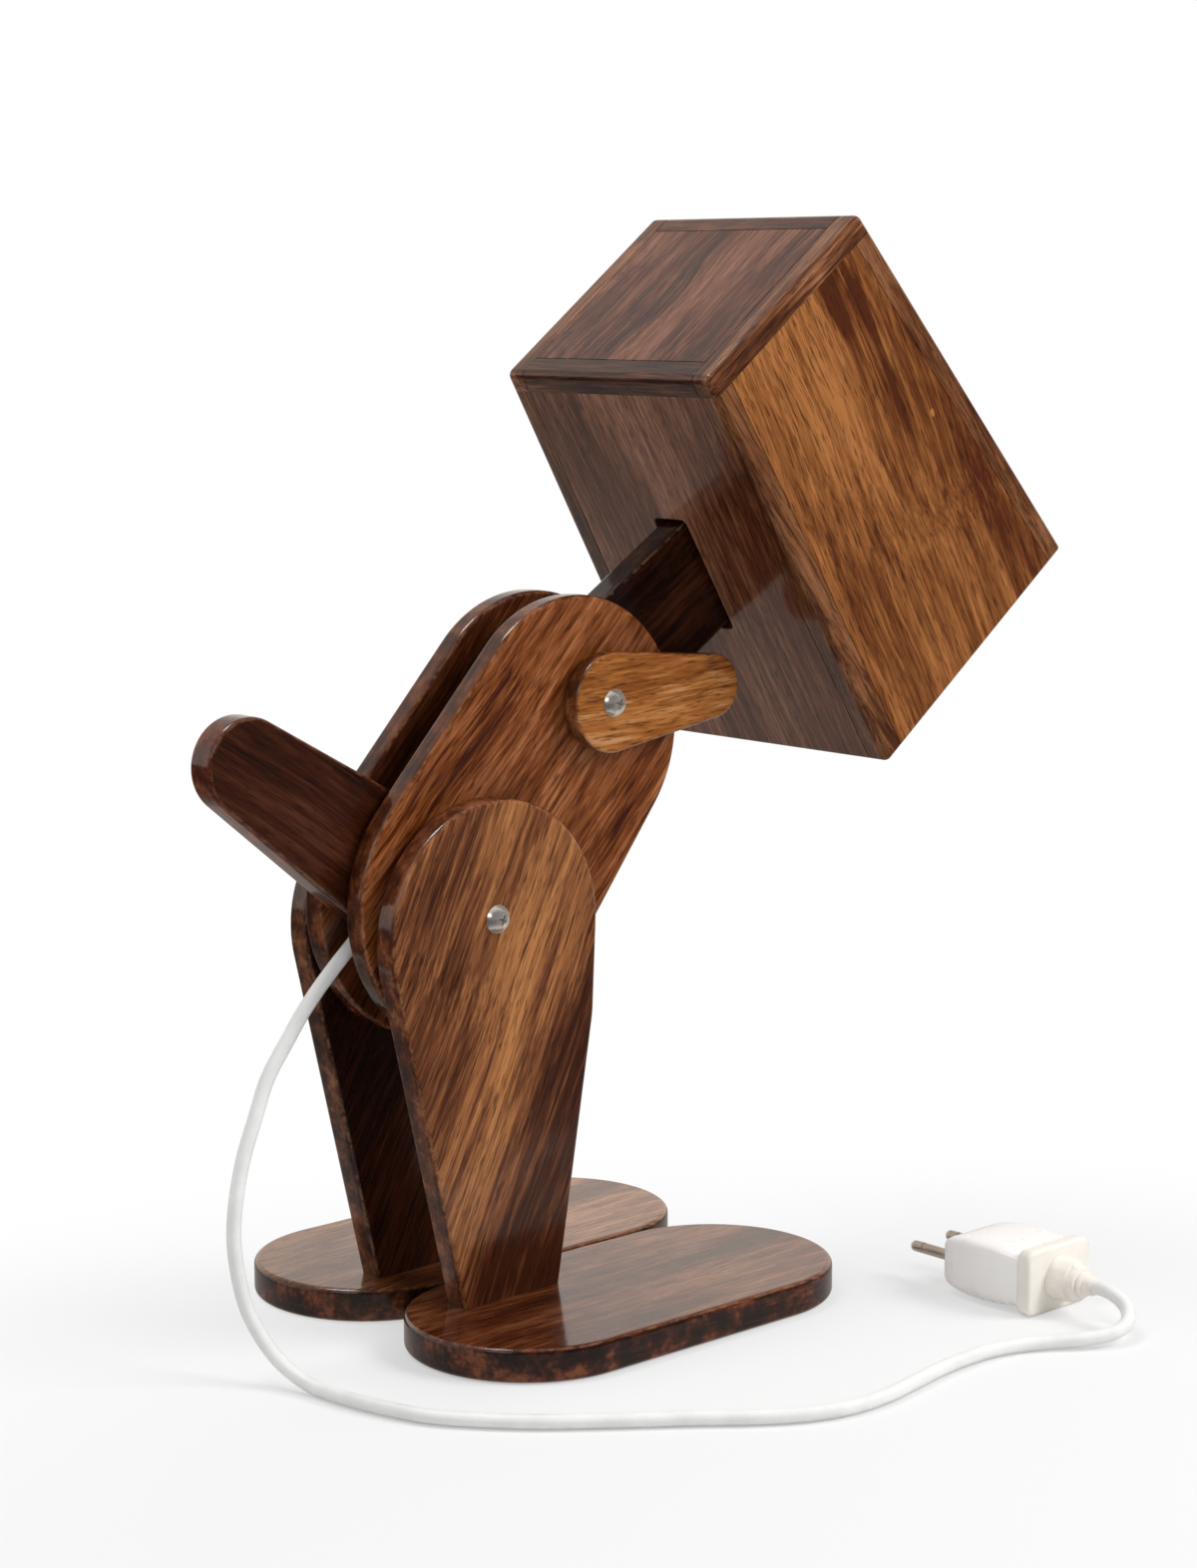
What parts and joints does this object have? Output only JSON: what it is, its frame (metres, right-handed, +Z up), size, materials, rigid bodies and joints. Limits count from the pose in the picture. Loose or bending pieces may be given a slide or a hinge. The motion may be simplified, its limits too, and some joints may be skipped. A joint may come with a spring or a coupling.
{
  "type": "desk lamp",
  "caption": "Wooden desk lamp shaped like a standing robot: box-shaped shade as head, bolted board limbs, a tail lever as switch and a white cord with plug.",
  "frame": {"origin": "on the floor, under the middle between the tail's tip and the front edge of the shade, in the middle plane between the feet", "axes": "+X the way the lamp faces, +Y to its left, +Z up"},
  "size_m": [0.3589, 0.2709, 0.3853],
  "materials": {
    "foot_wood": "satin lacquer",
    "leg_wood": "satin lacquer",
    "plate_wood": "satin lacquer",
    "arm_wood": "satin lacquer",
    "tail_wood": "satin lacquer",
    "neck_wood": "satin lacquer",
    "post_wood": "satin lacquer",
    "back_wood": "satin lacquer",
    "side_wood": "satin lacquer",
    "under_wood": "satin lacquer",
    "bolt_steel": "polished stainless steel",
    "screw_steel": "zinc plated",
    "washer_nylon": "black nylon",
    "switch_plastic": "moulded, fine texture",
    "plunger_plastic": "moulded",
    "lead_sleeve": "black PVC sleeve",
    "ear_steel": "black powder coat",
    "holder_ceramic": "glazed porcelain",
    "cap_metal": "nickel plated",
    "bulb_plastic": "moulded",
    "bulb_diffuser": "frosted",
    "cord_pvc": "white PVC",
    "plug_white": "moulded",
    "plug_cream": "moulded",
    "pin_nickel": "nickel plated"
  },
  "bodies": {
    "right_leg": {"right_foot": "foot_wood", "right_leg": "leg_wood", "right_foot_screws": "screw_steel", "hip_bolt": "bolt_steel", "hip_nut": "bolt_steel", "hip_washers": "washer_nylon", "tail_washers": "washer_nylon", "cord_drop": "cord_pvc", "cord_run": "cord_pvc", "plug_body": "plug_white", "plug_cover": "plug_cream", "plug_relief": "plug_cream", "plug_pins": "pin_nickel"},
    "left_leg": {"left_foot": "foot_wood", "left_leg": "leg_wood", "left_foot_screws": "screw_steel"},
    "torso": {"right_side_plate": "plate_wood", "left_side_plate": "plate_wood", "shoulder_bolt": "bolt_steel", "shoulder_nut": "bolt_steel", "arm_washers": "washer_nylon", "neck_washers": "washer_nylon", "switch_housing": "switch_plastic", "switch_dowels": "screw_steel", "torso_lead": "lead_sleeve"},
    "tail": {"tail": "tail_wood"},
    "plunger": {"switch_plunger": "plunger_plastic"},
    "right_arm": {"right_arm": "arm_wood"},
    "left_arm": {"left_arm": "arm_wood"},
    "neck": {"neck": "neck_wood", "neck_lead": "lead_sleeve"},
    "head": {"pivot_ears": "ear_steel", "ear_screws": "screw_steel", "pivot_washers": "washer_nylon", "pivot_bolt": "screw_steel", "pivot_nut": "screw_steel", "head_side_rails": "post_wood", "head_cross_rails": "post_wood", "head_back_panel": "back_wood", "head_posts": "post_wood", "head_top_panel": "back_wood", "head_bottom_panel": "under_wood", "head_right_panel": "side_wood", "head_left_panel": "side_wood", "lamp_holder": "holder_ceramic", "holder_screws": "screw_steel", "head_lead": "lead_sleeve", "bulb_cap": "cap_metal", "bulb_housing": "bulb_plastic", "bulb_globe": "bulb_diffuser"}
  },
  "joints": [
    {"name": "left_leg_swing", "type": "hinge", "parent": "right_leg", "child": "left_leg", "pos_m": [-0.07742, 0, 0.147], "axis": [0, 1, 0], "range_deg": [-20, 20]},
    {"name": "hip_tilt", "type": "hinge", "parent": "right_leg", "child": "torso", "pos_m": [-0.07742, 0, 0.147], "axis": [0, 1, 0], "range_deg": [-40, 25], "deforming": ["cord_drop"]},
    {"name": "tail_lift", "type": "hinge", "parent": "torso", "child": "tail", "pos_m": [-0.07742, 0, 0.147], "axis": [0, 1, 0], "range_deg": [0, 20]},
    {"name": "plunger_travel", "type": "slide", "parent": "torso", "child": "plunger", "axis": [-0.6428, 0, 0.766], "range_m": [0, 0.0012]},
    {"name": "right_arm_swing", "type": "hinge", "parent": "torso", "child": "right_arm", "pos_m": [-0.01901, 0, 0.21587], "axis": [0, 1, 0], "range_deg": [-150, 60]},
    {"name": "left_arm_swing", "type": "hinge", "parent": "torso", "child": "left_arm", "pos_m": [-0.01901, 0, 0.21587], "axis": [0, 1, 0], "range_deg": [-150, 60]},
    {"name": "neck_tilt", "type": "hinge", "parent": "torso", "child": "neck", "pos_m": [-0.01901, 0, 0.21587], "axis": [0, 1, 0], "range_deg": [-25, 25]},
    {"name": "head_nod", "type": "hinge", "parent": "neck", "child": "head", "pos_m": [0.05522, 0, 0.26407], "axis": [0, 1, 0], "range_deg": [-5, 5]}
  ],
  "couplings": [
    {"joint": "plunger_travel", "follows": "tail_lift", "m_per_rad": 0.00343}
  ]
}
